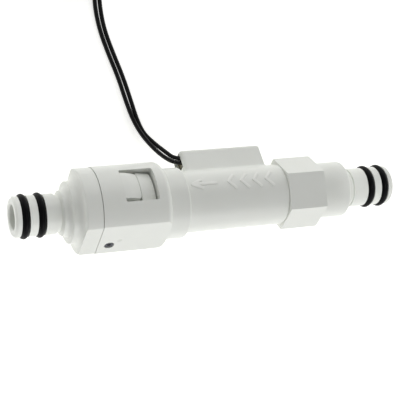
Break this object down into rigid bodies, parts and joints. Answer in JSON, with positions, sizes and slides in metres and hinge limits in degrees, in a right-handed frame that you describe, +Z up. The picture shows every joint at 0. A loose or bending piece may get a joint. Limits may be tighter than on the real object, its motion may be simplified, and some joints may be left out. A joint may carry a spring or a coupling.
{
  "type": "piston flow switch",
  "caption": "White plastic inline flow switch with O-ring spigots, a snap-fitted socket, a wrench hexagon, a reed pocket with black leads, and a sprung magnet piston inside.",
  "frame": {"origin": "bottom centre of the switch's box as it lies on a table, without its leads", "axes": "+X along the flow axis from the outlet to the inlet, +Z up, with one snap window looking up and the reed pocket dipping towards +Y until its far edge touches the table"},
  "size_m": [0.146, 0.1142, 0.0308],
  "materials": {
    "white_housing": "satin moulded acetal, warm white",
    "natural_acetal": "natural moulded acetal",
    "black_rubber": "moulded nitrile rubber, semi-matt",
    "ferrite": "sintered ferrite, dull",
    "spring_steel": "drawn stainless",
    "reed_glass": "clear glass, faintly green",
    "reed_metal": "nickel-iron, plated",
    "tinned_copper": "tinned copper",
    "potting_resin": "cast epoxy, olive",
    "lead_insulation": "black PVC, glossy",
    "tie_nylon": "black nylon strap"
  },
  "bodies": {
    "housing": {"main_body": "white_housing", "outlet_fitting": "white_housing", "inlet_fitting": "white_housing", "outlet_seal_outer": "black_rubber", "outlet_seal_inner": "black_rubber", "inlet_seal_inner": "black_rubber", "inlet_seal_outer": "black_rubber", "outlet_plug_seal": "black_rubber", "inlet_joint_seal": "black_rubber", "spring_seat": "natural_acetal", "return_spring": "spring_steel", "reed_glass": "reed_glass", "reed_blade_fixed": "reed_metal", "reed_blade_moving": "reed_metal", "reed_crimp_front": "tinned_copper", "reed_crimp_rear": "tinned_copper", "reed_return_wire": "tinned_copper", "reed_potting": "potting_resin", "lead_front": "lead_insulation", "lead_rear": "lead_insulation", "lead_front_coil": "lead_insulation", "lead_rear_coil": "lead_insulation", "lead_front_core": "tinned_copper", "lead_rear_core": "tinned_copper", "lead_tie": "tie_nylon"},
    "piston_body": {"piston": "natural_acetal", "poppet_seal": "black_rubber", "piston_magnet": "ferrite", "magnet_cap": "natural_acetal"}
  },
  "joints": [
    {"name": "piston_slide", "type": "slide", "parent": "housing", "child": "piston_body", "axis": [-1, 0, 0], "range_m": [0, 0.009], "stiffness_N_per_m": 25, "deforming": ["return_spring"]}
  ]
}
